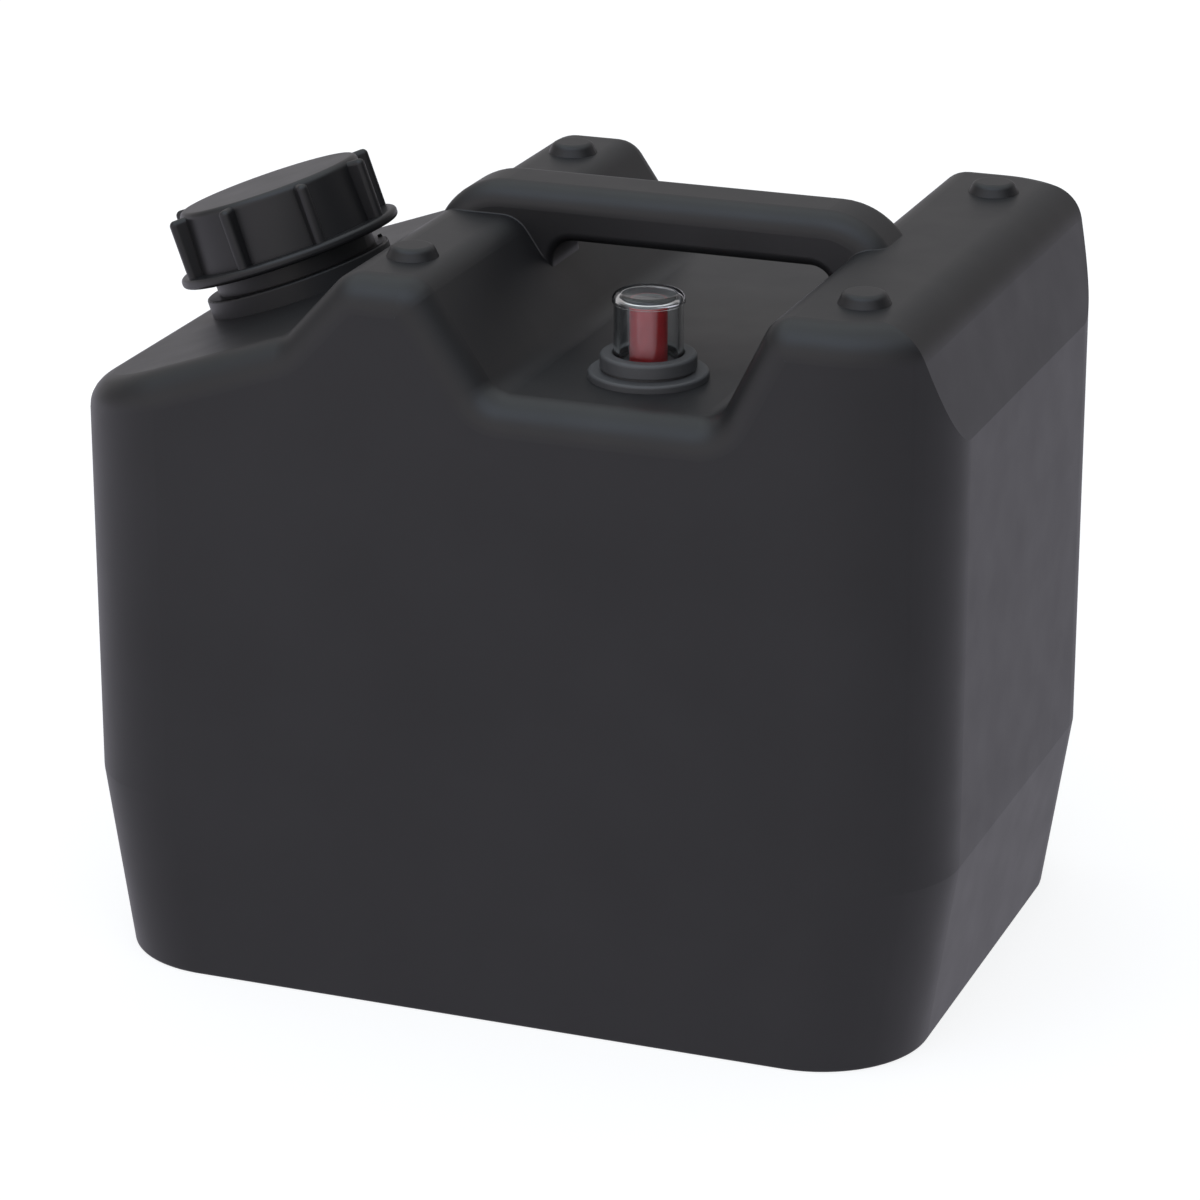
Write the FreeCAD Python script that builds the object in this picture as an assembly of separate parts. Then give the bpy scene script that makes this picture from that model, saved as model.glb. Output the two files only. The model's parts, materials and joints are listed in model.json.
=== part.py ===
"""Space-saving plastic jerrycan with a tilted screw neck, a bridge handle and a float level gauge.

Frame: millimetres, +Z up, origin under the middle of the whole can, cap included, on the standing face.
+X runs from the neck end to the far end, and -Y is the wall beside the gauge.
"""
import FreeCAD, Part
import math
import os

from FreeCAD import Vector

# Tank: blown in one piece with its neck, handle and stacking knobs
LENGTH = 290.0
WIDTH = 200.0
WALL = 2.8
RIDGE_Z = 240.0
RECESS_Z = 206.0
CORNER_R = 36.0
TOP_EDGE_R = 11.0
CAP_OVERHANG = 2.92
MIDDLE_X = CAP_OVERHANG / 2
LEFT = MIDDLE_X - LENGTH / 2
FRONT = -WIDTH / 2
BEYOND = 6.0
SLIP = 0.1
PUSH_FIT = 0.05
TOUCH = 0.01
SAME_PLACE = 1e-4

# Corners of the tank's top outline: distance from the neck end, height, corner radius
SHOULDER_START = (0.0, 189.7, 0.0)
SHOULDER_END = (77.8, 217.2, 9.0)
NECK_RIDGE_OUTER = (98.6, RIDGE_Z, 12.0)
NECK_RIDGE_INNER = (123.9, RIDGE_Z, 10.0)
RECESS_START = (147.2, RECESS_Z, 9.0)
RECESS_END = (219.4, RECESS_Z, 9.0)
FAR_RIDGE_INNER = (236.2, RIDGE_Z, 9.0)

# Ends: the far ridge's shoulder slopes down, and the foot is drawn in below a crease
END_SLOPE_RUN = 11.2
END_SLOPE_DROP = 40.0
END_SLOPE_R = 15.0
FOOT_RUN = 9.2
FOOT_HEIGHT = 60.5
FOOT_EDGE_R = 1.0

# Stacking: knobs on the ridges, with the sockets and the handle pocket under the tank that take them
KNOB_X = (LEFT + 111.0, LEFT + 257.0)
KNOB_Y = 68.5
KNOB_FOOT_R = 8.2
KNOB_TOP_R = 6.5
KNOB_HEIGHT = 3.6
KNOB_EDGE_R = 2.2
SOCKET_R = 9.2
SOCKET_DEPTH = 4.6
POCKET_START_X = LEFT + 28.0
POCKET_END_X = LEFT + 250.0
POCKET_HALF_WIDTH = 38.0
POCKET_DEPTH = 10.4
POCKET_CORNER_R = 14.0

# Bridge handle, hollow like the tank
HANDLE_START = 92.7
HANDLE_END = 250.2
HANDLE_HALF_WIDTH = 14.0
HANDLE_TOP_Z = 250.0
HANDLE_UNDER_Z = 232.6
HANDLE_ROOT_Z = 212.0
HANDLE_END_R = 25.0
HANDLE_EDGE_R = 7.5
HANDLE_ARCH_R = 7.0
HANDLE_ARCH_EDGE_R = 3.2
HANDLE_ROOT_R = 0.5
ARCH_SUNK = 0.4

# Screw neck on the shoulder; heights are along its own axis
NECK_BASE = Vector(LEFT + 42.5, 0.0, 204.8)
NECK_TILT = 20.0
NECK_R = 27.1
NECK_BORE_R = 24.6
NECK_HEIGHT = 31.5
NECK_RING_R = 31.4
NECK_RING_HEIGHT = 6.4
NECK_LIP_R = 0.8
TOOTH_ANGLE = 40.0
TOOTH_LENGTH = 1.4
TOOTH_WIDTH = 1.4
TOOTH_HEIGHT = 0.8

# Screw cap, in the neck's own heights
CAP_FOOT = 12.2
CAP_HEAD = 36.2
CAP_R = 30.7
CAP_FOOT_R = 31.7
CAP_BORE_R = 29.3
CAP_HEAD_EDGE_R = 2.2
CAP_FLANGE_R = 37.3
CAP_FLANGE_THICKNESS = 3.4
CAP_FLANGE_EDGE_R = 1.4
CAP_RIB_COUNT = 8
CAP_RIB_R = 36.0
CAP_RIB_HALF_WIDTH = 1.9
CAP_RIB_SINK = 1.0
CAP_RIB_HEAD = CAP_HEAD - 0.9
CAP_RIB_EDGE_R = 1.7
GASKET_R = 29.0
GASKET_FOOT = NECK_HEIGHT + 0.1
GASKET_HEAD = NECK_HEIGHT + 2.1
CAP_CEILING = GASKET_HEAD + 0.1

# Float level gauge standing in the recess; heights are from the recess floor
GAUGE_X = LEFT + 184.4
GAUGE_Y = FRONT + 42.8
BOSS_R = 16.5
BOSS_BORE_R = 13.25
BOSS_FOOT = -14.0
BASE_FLANGE_R = 18.8
BASE_FLANGE_THICKNESS = 2.4
BASE_STEP_R = 14.3
BASE_STEP_HEAD = 3.0
BASE_FLANGE_EDGE_R = 1.0
BASE_SPIGOT_R = 13.45
ROD_HOLE_R = 6.33
SEAT_HEIGHT = 4.8
BASE_STEM_R = 13.2
STEM_SHOULDER = -10.0
STEM_FOOT = -18.0
TUBE_R = 13.2
TUBE_BORE_R = 12.05
TUBE_FOOT = -106.0
TUBE_SLOT_WIDTH = 5.0
TUBE_SLOT_FOOT = -98.0
TUBE_SLOT_HEAD = -22.0
BASE_GASKET_THICKNESS = 0.9
BASE_GASKET_R = 16.7
DOME_R = 10.8
DOME_BORE_R = 9.1
DOME_HEAD = 27.0
DOME_HEAD_THICKNESS = 2.2
DOME_FOOT_R = 13.2
DOME_FOOT_THICKNESS = 1.2
DOME_RIM_R = 2.4
DOME_BORE_RIM_R = 0.9
DOME_BEAD_R = 11.3
DOME_BEAD_FOOT = 23.8
DOME_BEAD_EDGE_R = 0.25
DOME_GAP = 0.3
CLAMP_R = 15.05
CLAMP_HEAD = 7.9
CLAMP_FOOT_EDGE_R = 0.4
CLAMP_HEAD_EDGE_R = 1.2
CLAMP_LIP_EDGE_R = 0.4
SEAL_RING_R = 11.75
SEAL_SECTION_R = 0.7
ROD_R = 5.93
ROD_HEAD = 23.3
ROD_SHOULDER = -18.6
ROD_STEM_R = 3.0
ROD_FOOT = -82.5
ROD_HEAD_EDGE_R = 0.5
BUSH_R = 7.5
BUSH_BORE_R = 5.98
BUSH_HEAD = -2.0
BUSH_FOOT = -15.0
FLOAT_R = 11.0
FLOAT_FOOT = -78.6
FLOAT_EDGE_R = 3.0
CLIP_R = 6.0
CLIP_THICKNESS = 1.2
TRAVEL = 19.0
STOP_GAP = 0.4
PLUG_FLANGE_THICKNESS = 1.5
DRAIN_COUNT = 4
DRAIN_R = 2.0
DRAIN_CIRCLE_R = 7.5


def inward_normal(start, end):
    """Unit normal to the right of the way from start to end, which is inwards on a clockwise outline."""
    dx = end[0] - start[0]
    dz = end[1] - start[1]
    length = math.hypot(dx, dz)
    return dz / length, -dx / length


def inset_outline(corners, inset):
    """Clockwise outline moved inwards by the wall, with each corner's arc kept concentric."""
    moved = []
    for i, (x, z, radius) in enumerate(corners):
        nx1, nz1 = inward_normal(corners[i - 1], corners[i])
        nx2, nz2 = inward_normal(corners[i], corners[(i + 1) % len(corners)])
        stretch = inset / (1.0 + nx1 * nx2 + nz1 * nz2)
        hollow_corner = nx1 * nz2 - nz1 * nx2 > 0
        if radius > 0.0:
            radius = radius + inset if hollow_corner else radius - inset
        moved.append((x + (nx1 + nx2) * stretch, z + (nz1 + nz2) * stretch, radius))
    return moved


def rounded_wire(points, radii):
    """Closed wire through the points, with a tangent arc at each point that has a radius."""
    bends = []
    for i, point in enumerate(points):
        back = (points[i - 1] - point).normalize()
        ahead = (points[(i + 1) % len(points)] - point).normalize()
        half_angle = back.getAngle(ahead) / 2
        reach = radii[i] / math.tan(half_angle)
        middle = point + (back + ahead).normalize() * (radii[i] / math.sin(half_angle) - radii[i])
        bends.append((point + back * reach, middle, point + ahead * reach))
    edges = []
    for i, (arc_start, middle, arc_end) in enumerate(bends):
        if radii[i] > 0.0:
            edges.append(Part.Arc(arc_start, middle, arc_end).toShape())
        next_start = bends[(i + 1) % len(bends)][0]
        if (next_start - arc_end).Length > SAME_PLACE:
            edges.append(Part.LineSegment(arc_end, next_start).toShape())
    return Part.Wire(edges)


def side_prism(corners, half_width):
    """Solid of constant side outline; its corners are distance from the neck end, height, radius."""
    points = [Vector(LEFT + x, -half_width, z) for x, z, radius in corners]
    outline = rounded_wire(points, [radius for x, z, radius in corners])
    return Part.Face(outline).extrude(Vector(0, 2 * half_width, 0))


def plan_face(x_from, x_to, half_width, z, radius):
    """Level rectangle with rounded corners."""
    points = [
        Vector(x_from, -half_width, z),
        Vector(x_to, -half_width, z),
        Vector(x_to, half_width, z),
        Vector(x_from, half_width, z),
    ]
    return Part.Face(rounded_wire(points, [radius] * 4))


def plan_prism(x_from, x_to, half_width, z_from, z_to, radius):
    """Upright block with rounded vertical corners."""
    plan = plan_face(x_from, x_to, half_width, z_from, radius)
    return plan.extrude(Vector(0, 0, z_to - z_from))


def turned(profile):
    """Solid of revolution about Z; the profile's corners are radius, height, corner radius."""
    points = [Vector(r, 0, z) for r, z, corner in profile]
    outline = rounded_wire(points, [corner for r, z, corner in profile])
    return Part.Face(outline).revolve(Vector(0, 0, 0), Vector(0, 0, 1), 360)


def sleeve(outer, bore, z_from, z_to, edge=0.0):
    """Turned tube with square bore edges and, if asked, rounded outer ones."""
    return turned([(bore, z_from, 0.0), (outer, z_from, edge), (outer, z_to, edge), (bore, z_to, 0.0)])


def at_neck(shape):
    """Stand a shape, made about Z from height zero, on the shoulder along the neck's axis."""
    shape.Placement = FreeCAD.Placement(NECK_BASE, FreeCAD.Rotation(Vector(0, 1, 0), -NECK_TILT))
    return shape


def at_gauge(shape):
    """Stand a shape, made about Z from height zero, on the recess floor at the gauge."""
    shape.Placement = FreeCAD.Placement(Vector(GAUGE_X, GAUGE_Y, RECESS_Z), FreeCAD.Rotation())
    return shape


def middle_of(edge):
    """Point half way along an edge."""
    return edge.valueAt((edge.FirstParameter + edge.LastParameter) / 2)


def on_walls(point, inset):
    """True for a point on the four upright walls or the round corners between them."""
    past_x = abs(point.x - MIDDLE_X) - (LENGTH / 2 - CORNER_R)
    past_y = abs(point.y) - (WIDTH / 2 - CORNER_R)
    reach = CORNER_R - inset
    if past_x > 0 and past_y > 0:
        return abs(math.hypot(past_x, past_y) - reach) < TOUCH
    return abs(past_x - reach) < TOUCH or abs(past_y - reach) < TOUCH


def plan_form(inset):
    """Rounded plan of the tank, upright down to the crease and drawn in at both ends below it."""
    crease = plan_face(
        LEFT + inset,
        LEFT + LENGTH - inset,
        WIDTH / 2 - inset,
        FOOT_HEIGHT,
        CORNER_R - inset,
    )
    upper = crease.extrude(Vector(0, 0, RIDGE_Z + BEYOND - FOOT_HEIGHT))
    reach = 1 + BEYOND / FOOT_HEIGHT
    neck_end = crease.extrude(Vector(FOOT_RUN, 0, -FOOT_HEIGHT) * reach)
    far_end = crease.extrude(Vector(-FOOT_RUN, 0, -FOOT_HEIGHT) * reach)
    return upper.fuse(neck_end.common(far_end)).removeSplitter()


def tank_form(inset):
    """Tank without handle and neck: side outline and rounded plan in common, top edge rounded all round."""
    corners = [
        (0.0, 0.0, 0.0),
        SHOULDER_START,
        SHOULDER_END,
        NECK_RIDGE_OUTER,
        NECK_RIDGE_INNER,
        RECESS_START,
        RECESS_END,
        FAR_RIDGE_INNER,
        (LENGTH, RIDGE_Z, 0.0),
        (LENGTH, 0.0, 0.0),
    ]
    sides = side_prism(inset_outline(corners, inset), WIDTH / 2 - inset)
    body = sides.common(plan_form(inset))
    lowest = SHOULDER_START[1] - 2 * WALL
    top_edges = [e for e in body.Edges if e.BoundBox.ZMin > lowest and on_walls(middle_of(e), inset)]
    return body.makeFillet(TOP_EDGE_R - inset, top_edges).common(end_slope(inset))


def end_slope(inset):
    """Wide prism whose sloping far corner cuts the far ridge's shoulder."""
    slope_fall = BEYOND * END_SLOPE_DROP / END_SLOPE_RUN
    corners = [
        (-BEYOND, -BEYOND, 0.0),
        (-BEYOND, RIDGE_Z, 0.0),
        (LENGTH - END_SLOPE_RUN, RIDGE_Z, END_SLOPE_R),
        (LENGTH + BEYOND, RIDGE_Z - END_SLOPE_DROP - slope_fall, 0.0),
        (LENGTH + BEYOND, -BEYOND, 0.0),
    ]
    return side_prism(inset_outline(corners, inset), WIDTH / 2 + BEYOND)


def along_slope(low, high, z):
    """Distance from the neck end at which the straight slope between two corners has height z."""
    return low[0] + (high[0] - low[0]) * (z - low[1]) / (high[1] - low[1])


def long_edges(shape, half_width):
    """Edges that lie in the two side faces of a bar of that half width."""
    return [edge for edge in shape.Edges if abs(abs(middle_of(edge).y) - half_width) < TOUCH]


def handle_form(inset):
    """Bar with rounded ends that dives into both ridges, over an arch with rounded corners."""
    bar = [
        (HANDLE_START, HANDLE_ROOT_Z, 0.0),
        (HANDLE_START, HANDLE_TOP_Z, HANDLE_END_R),
        (HANDLE_END, HANDLE_TOP_Z, HANDLE_END_R),
        (HANDLE_END, HANDLE_ROOT_Z, 0.0),
    ]
    arch_foot = RECESS_Z - BEYOND
    arch = [
        (along_slope(RECESS_START, NECK_RIDGE_INNER, arch_foot), arch_foot, 0.0),
        (along_slope(RECESS_START, NECK_RIDGE_INNER, HANDLE_UNDER_Z), HANDLE_UNDER_Z, HANDLE_ARCH_R),
        (along_slope(RECESS_END, FAR_RIDGE_INNER, HANDLE_UNDER_Z), HANDLE_UNDER_Z, HANDLE_ARCH_R),
        (along_slope(RECESS_END, FAR_RIDGE_INNER, arch_foot), arch_foot, 0.0),
    ]
    half_width = HANDLE_HALF_WIDTH - inset
    body = side_prism(inset_outline(bar, inset), half_width)
    foot = HANDLE_ROOT_Z + inset + TOUCH
    top_edges = [edge for edge in long_edges(body, half_width) if edge.BoundBox.ZMax > foot]
    body = body.makeFillet(HANDLE_EDGE_R - inset, top_edges)
    opening = side_prism(inset_outline(arch, -inset - ARCH_SUNK), 2 * half_width)
    body = body.cut(opening)
    arch_edges = []
    for edge in long_edges(body, half_width):
        if opening.distToShape(Part.Vertex(middle_of(edge)))[0] < TOUCH:
            arch_edges.append(edge)
    return body.makeFillet(HANDLE_ARCH_EDGE_R - inset, arch_edges)


def stacking_hollows(grow):
    """Pocket for the handle and cap of the can below, and four sockets for its knobs."""
    hollows = plan_prism(
        POCKET_START_X - grow,
        POCKET_END_X + grow,
        POCKET_HALF_WIDTH + grow,
        -BEYOND,
        POCKET_DEPTH + grow,
        POCKET_CORNER_R + grow,
    )
    for x in KNOB_X:
        for y in (-KNOB_Y, KNOB_Y):
            depth = SOCKET_DEPTH + grow
            socket = Part.makeCylinder(SOCKET_R + grow, depth + BEYOND, Vector(x, y, -BEYOND))
            hollows = hollows.fuse(socket)
    return hollows


def knob():
    """Low cone with a rounded top edge, sunk into the ridge it stands on."""
    slant = (KNOB_FOOT_R - KNOB_TOP_R) / KNOB_HEIGHT
    sunk_r = KNOB_FOOT_R + slant * WALL
    return turned([
        (0.0, -WALL, 0.0),
        (sunk_r, -WALL, 0.0),
        (KNOB_TOP_R, KNOB_HEIGHT, KNOB_EDGE_R),
        (0.0, KNOB_HEIGHT, 0.0),
    ])


def root_edges(joined, first, second):
    """Edges along which two solids that have been fused meet, and that neither had alone."""
    found = []
    for edge in joined.Edges:
        point = Part.Vertex(middle_of(edge))
        apart = max(first.distToShape(point)[0], second.distToShape(point)[0])
        if apart > SAME_PLACE:
            continue
        old_edges = [e for e in first.Edges + second.Edges if e.distToShape(point)[0] < SAME_PLACE]
        if not old_edges:
            found.append(edge)
    return found


def neck_ring():
    """Collar round the neck's root, with one small ramped tooth near its rim."""
    collar = sleeve(NECK_RING_R, NECK_BORE_R, -WALL, NECK_RING_HEIGHT, NECK_LIP_R)
    tooth_r = NECK_RING_R - NECK_LIP_R - TOOTH_LENGTH
    sunk_z = NECK_RING_HEIGHT - NECK_LIP_R
    ramp_foot = Vector(tooth_r, -TOOTH_WIDTH / 2, sunk_z)
    heel = Vector(tooth_r, TOOTH_WIDTH / 2, sunk_z)
    peak = Vector(tooth_r, TOOTH_WIDTH / 2, NECK_RING_HEIGHT + TOOTH_HEIGHT)
    tooth_side = Part.Face(Part.makePolygon([ramp_foot, heel, peak, ramp_foot]))
    tooth = tooth_side.extrude(Vector(TOOTH_LENGTH, 0, 0))
    tooth.rotate(Vector(0, 0, 0), Vector(0, 0, 1), TOOTH_ANGLE)
    return at_neck(collar.fuse(tooth))


def canister_body():
    """Hollow tank with its handle, knobs, stacking hollows, neck and gauge boss in one moulding."""
    tank = tank_form(0.0)
    handle = handle_form(0.0)
    outside = tank.fuse(handle)
    outside = outside.makeFillet(HANDLE_ROOT_R, root_edges(outside, tank, handle))
    foot_edges = [edge for edge in outside.Edges if edge.BoundBox.ZMax < TOUCH]
    outside = outside.makeFillet(FOOT_EDGE_R, foot_edges)
    outside = outside.cut(stacking_hollows(0.0))
    neck = at_neck(sleeve(NECK_R, NECK_BORE_R, -WALL, NECK_HEIGHT, NECK_LIP_R))
    outside = outside.fuse([neck, neck_ring()])
    for x in KNOB_X:
        for y in (-KNOB_Y, KNOB_Y):
            button = knob()
            button.translate(Vector(x, y, RIDGE_Z))
            outside = outside.fuse(button)
    inside = tank_form(WALL).fuse(handle_form(WALL)).cut(stacking_hollows(WALL))
    shell = outside.cut(inside)
    shell = shell.cut(at_neck(Part.makeCylinder(NECK_BORE_R, 3 * NECK_HEIGHT, Vector(0, 0, -NECK_HEIGHT))))
    boss = at_gauge(sleeve(BOSS_R, BOSS_BORE_R, BOSS_FOOT, -WALL / 2))
    bore = at_gauge(Part.makeCylinder(BOSS_BORE_R, 2 * BEYOND, Vector(0, 0, -BEYOND)))
    return shell.fuse(boss).cut(bore)


def cap_rib():
    """One grip rib along the cap's wall, rounded along its outer edges and at its head."""
    outline = [
        Vector(CAP_R - CAP_RIB_SINK, -CAP_RIB_HALF_WIDTH, CAP_FOOT + CAP_FLANGE_THICKNESS / 2),
        Vector(CAP_RIB_R, -CAP_RIB_HALF_WIDTH, CAP_FOOT + CAP_FLANGE_THICKNESS / 2),
        Vector(CAP_RIB_R, -CAP_RIB_HALF_WIDTH, CAP_RIB_HEAD),
        Vector(CAP_R - CAP_RIB_SINK, -CAP_RIB_HALF_WIDTH, CAP_RIB_HEAD),
    ]
    bar = Part.Face(rounded_wire(outline, [0.0] * 4)).extrude(Vector(0, 2 * CAP_RIB_HALF_WIDTH, 0))
    outer_edges = []
    for edge in bar.Edges:
        middle = middle_of(edge)
        along_wall = abs(middle.x - CAP_RIB_R) < TOUCH and abs(middle.y) > CAP_RIB_HALF_WIDTH - TOUCH
        around_head = abs(middle.z - CAP_RIB_HEAD) < TOUCH and middle.x > CAP_R - CAP_RIB_SINK + TOUCH
        if along_wall or around_head:
            outer_edges.append(edge)
    return bar.makeFillet(CAP_RIB_EDGE_R, outer_edges)


def cap_shell():
    """Cap with a flange at its foot, eight grip ribs and a rounded top edge."""
    shell = turned([
        (0.0, CAP_HEAD, 0.0),
        (0.0, CAP_CEILING, 0.0),
        (CAP_BORE_R, CAP_CEILING, 0.0),
        (CAP_BORE_R, CAP_FOOT, 0.0),
        (CAP_FLANGE_R, CAP_FOOT, CAP_FLANGE_EDGE_R),
        (CAP_FLANGE_R, CAP_FOOT + CAP_FLANGE_THICKNESS, CAP_FLANGE_EDGE_R),
        (CAP_FOOT_R, CAP_FOOT + CAP_FLANGE_THICKNESS, 0.0),
        (CAP_R, CAP_HEAD, CAP_HEAD_EDGE_R),
    ])
    ribs = []
    for i in range(CAP_RIB_COUNT):
        rib = cap_rib()
        rib.rotate(Vector(0, 0, 0), Vector(0, 0, 1), i * 360.0 / CAP_RIB_COUNT)
        ribs.append(rib)
    return at_neck(shell.fuse(ribs))


def cap_gasket():
    """Flat soft plastic disc between the neck's lip and the inside of the cap."""
    return at_neck(Part.makeCylinder(GASKET_R, GASKET_HEAD - GASKET_FOOT, Vector(0, 0, GASKET_FOOT)))


def gauge_base():
    """Flanged plug that closes the tank's boss, with the rod's bore and the dome's seat."""
    return at_gauge(turned([
        (BUSH_R, STEM_FOOT, 0.0),
        (TUBE_BORE_R, STEM_FOOT, 0.0),
        (TUBE_BORE_R, STEM_SHOULDER, 0.0),
        (BASE_STEM_R, STEM_SHOULDER, 0.0),
        (BASE_STEM_R, BASE_GASKET_THICKNESS, 0.0),
        (BASE_GASKET_R + SLIP, BASE_GASKET_THICKNESS, 0.0),
        (BASE_GASKET_R + SLIP, 0.0, 0.0),
        (BASE_FLANGE_R, 0.0, 0.0),
        (BASE_FLANGE_R, BASE_FLANGE_THICKNESS, BASE_FLANGE_EDGE_R),
        (BASE_STEP_R, BASE_FLANGE_THICKNESS, 0.0),
        (BASE_STEP_R, BASE_STEP_HEAD, 0.0),
        (BASE_SPIGOT_R, BASE_STEP_HEAD, 0.0),
        (BASE_SPIGOT_R, SEAT_HEIGHT, 0.0),
        (SEAL_RING_R + SEAL_SECTION_R, SEAT_HEIGHT, 0.0),
        (SEAL_RING_R + SEAL_SECTION_R, SEAT_HEIGHT - 2 * SEAL_SECTION_R, 0.0),
        (SEAL_RING_R - SEAL_SECTION_R, SEAT_HEIGHT - 2 * SEAL_SECTION_R, 0.0),
        (SEAL_RING_R - SEAL_SECTION_R, SEAT_HEIGHT, 0.0),
        (ROD_HOLE_R, SEAT_HEIGHT, 0.0),
        (ROD_HOLE_R, BUSH_HEAD, 0.0),
        (BUSH_R, BUSH_HEAD, 0.0),
    ]))


def base_gasket():
    """Flat ring under the plug's flange."""
    return at_gauge(sleeve(BASE_GASKET_R, BASE_STEM_R + SLIP, 0.0, BASE_GASKET_THICKNESS))


def dome_seal_ring():
    """Round-section ring in the groove of the dome's seat."""
    height = SEAT_HEIGHT - SEAL_SECTION_R
    return at_gauge(Part.makeTorus(SEAL_RING_R, SEAL_SECTION_R, Vector(0, 0, height)))


def sight_dome():
    """Clear cup, closed on top, with a bead round its head and a foot that the clamp ring holds."""
    foot_top = SEAT_HEIGHT + DOME_FOOT_THICKNESS
    return at_gauge(turned([
        (0.0, DOME_HEAD, 0.0),
        (0.0, DOME_HEAD - DOME_HEAD_THICKNESS, 0.0),
        (DOME_BORE_R, DOME_HEAD - DOME_HEAD_THICKNESS, DOME_BORE_RIM_R),
        (DOME_BORE_R, SEAT_HEIGHT, 0.0),
        (DOME_FOOT_R, SEAT_HEIGHT, 0.0),
        (DOME_FOOT_R, foot_top, 0.0),
        (DOME_R, foot_top, 0.0),
        (DOME_R, DOME_BEAD_FOOT, DOME_BEAD_EDGE_R),
        (DOME_BEAD_R, DOME_BEAD_FOOT, DOME_BEAD_EDGE_R),
        (DOME_BEAD_R, DOME_HEAD, DOME_RIM_R),
    ]))


def dome_clamp_ring():
    """Collar pressed over the plug's spigot, with a lip that holds the dome's foot down."""
    foot_top = SEAT_HEIGHT + DOME_FOOT_THICKNESS
    return at_gauge(turned([
        (BASE_SPIGOT_R + PUSH_FIT, BASE_STEP_HEAD + SLIP, 0.0),
        (CLAMP_R, BASE_STEP_HEAD + SLIP, CLAMP_FOOT_EDGE_R),
        (CLAMP_R, CLAMP_HEAD, CLAMP_HEAD_EDGE_R),
        (DOME_R + DOME_GAP, CLAMP_HEAD, CLAMP_LIP_EDGE_R),
        (DOME_R + DOME_GAP, foot_top, 0.0),
        (BASE_SPIGOT_R + PUSH_FIT, foot_top, 0.0),
    ]))


def rod_guide_bush():
    """Plain bearing for the indicator rod, pressed into the plug from below."""
    return at_gauge(sleeve(BUSH_R, BUSH_BORE_R, BUSH_FOOT, BUSH_HEAD))


def indicator_rod():
    """Red rod seen in the dome, with a thin stem through the float."""
    return at_gauge(turned([
        (0.0, ROD_FOOT, 0.0),
        (ROD_STEM_R, ROD_FOOT, 0.0),
        (ROD_STEM_R, ROD_SHOULDER, 0.0),
        (ROD_R, ROD_SHOULDER, 0.0),
        (ROD_R, ROD_HEAD, ROD_HEAD_EDGE_R),
        (0.0, ROD_HEAD, 0.0),
    ]))


def gauge_float():
    """Closed float with rounded ends on the rod's stem."""
    return at_gauge(turned([
        (ROD_STEM_R, FLOAT_FOOT, 0.0),
        (FLOAT_R, FLOAT_FOOT, FLOAT_EDGE_R),
        (FLOAT_R, ROD_SHOULDER, FLOAT_EDGE_R),
        (ROD_STEM_R, ROD_SHOULDER, 0.0),
    ]))


def float_clip():
    """Push-on ring that holds the float on the stem."""
    return at_gauge(sleeve(CLIP_R, ROD_STEM_R, FLOAT_FOOT - CLIP_THICKNESS, FLOAT_FOOT))


def float_guide_tube():
    """Tube round the float, pushed over the plug's stem, with four slots that let the liquid in."""
    tube = sleeve(TUBE_R, TUBE_BORE_R, TUBE_FOOT, STEM_SHOULDER)
    for angle in (0, 90):
        half = TUBE_SLOT_WIDTH / 2
        slot = Part.makeBox(TUBE_SLOT_WIDTH, 4 * TUBE_R, TUBE_SLOT_HEAD - TUBE_SLOT_FOOT)
        slot.translate(Vector(-half, -2 * TUBE_R, TUBE_SLOT_FOOT))
        slot.rotate(Vector(0, 0, 0), Vector(0, 0, 1), angle)
        tube = tube.cut(slot)
    return at_gauge(tube)


def guide_tube_plug():
    """Plug in the tube's lower end, which stops the falling rod and lets the liquid drain."""
    head = ROD_FOOT - TRAVEL - STOP_GAP
    plug = turned([
        (0.0, TUBE_FOOT - PLUG_FLANGE_THICKNESS, 0.0),
        (TUBE_R, TUBE_FOOT - PLUG_FLANGE_THICKNESS, 0.0),
        (TUBE_R, TUBE_FOOT, 0.0),
        (TUBE_BORE_R, TUBE_FOOT, 0.0),
        (TUBE_BORE_R, head, 0.0),
        (0.0, head, 0.0),
    ])
    for i in range(DRAIN_COUNT):
        drain = Part.makeCylinder(DRAIN_R, 2 * TUBE_R, Vector(DRAIN_CIRCLE_R, 0, TUBE_FOOT - TUBE_R))
        drain.rotate(Vector(0, 0, 0), Vector(0, 0, 1), (i + 0.5) * 360.0 / DRAIN_COUNT)
        plug = plug.cut(drain)
    return at_gauge(plug)


PIECES = {
    "canister_body": canister_body,
    "cap_shell": cap_shell,
    "cap_gasket": cap_gasket,
    "gauge_base": gauge_base,
    "base_gasket": base_gasket,
    "dome_seal_ring": dome_seal_ring,
    "sight_dome": sight_dome,
    "dome_clamp_ring": dome_clamp_ring,
    "rod_guide_bush": rod_guide_bush,
    "indicator_rod": indicator_rod,
    "gauge_float": gauge_float,
    "float_clip": float_clip,
    "float_guide_tube": float_guide_tube,
    "guide_tube_plug": guide_tube_plug,
}

os.makedirs("parts", exist_ok=True)
for name, make in PIECES.items():
    shape = make()
    shape.exportStep(f"parts/{name}.step")
    print(f"{name}: {len(shape.Solids)} solid, {shape.Volume / 1000:.2f} cm3")
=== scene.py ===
"""Looks of a black plastic jerrycan with a tilted screw neck, a bridge handle and a float level gauge."""
import json
import math

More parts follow.
